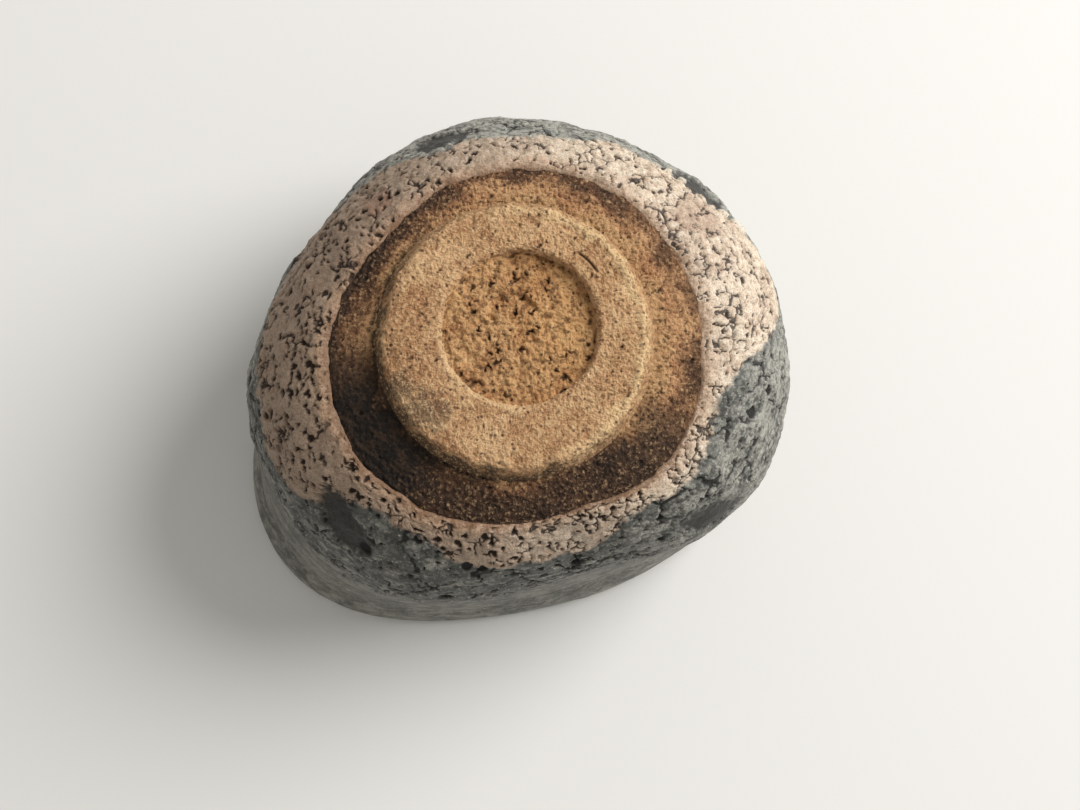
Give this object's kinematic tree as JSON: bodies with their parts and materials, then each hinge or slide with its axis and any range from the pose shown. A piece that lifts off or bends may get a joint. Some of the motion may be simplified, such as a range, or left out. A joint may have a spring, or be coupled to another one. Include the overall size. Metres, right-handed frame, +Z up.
{
  "type": "matcha bowl",
  "caption": "Hand-shaped tea bowl turned over on its lip: bare clay foot ring and shoulder, crawled white glaze over pitted grey, smooth glazed rim.",
  "frame": {"origin": "on the surface that the lip stands on, under the middle of the bowl's box; the bowl is stored turned over", "axes": "+Z up, out of the face of the foot, with the mouth opening towards -Z; +X along the bowl's longest side; turn it 180 degrees about X to use it"},
  "size_m": [0.1336, 0.1212, 0.076],
  "materials": {
    "base_clay": "bare fired clay, orange brown, scorched dark near the glaze",
    "wall_clay": "bare fired clay under the glaze",
    "foot_clay": "bare fired clay, pale tan, fine grained",
    "well_clay": "bare fired clay, torn and pitted",
    "white_glaze": "satin white glaze with a pink cast, crawled and pitted",
    "grey_glaze": "satin grey glaze, pitted, specked with white",
    "rim_glaze": "smooth satin grey glaze",
    "inner_glaze": "smooth satin grey glaze"
  },
  "bodies": {
    "root": {"clay_base": "base_clay", "clay_wall": "wall_clay", "foot_ring": "foot_clay", "foot_well": "well_clay", "white_glaze_band": "white_glaze", "grey_glaze_coat": "grey_glaze", "lip_glaze": "rim_glaze", "inner_glaze_coat": "inner_glaze"}
  },
  "joints": []
}
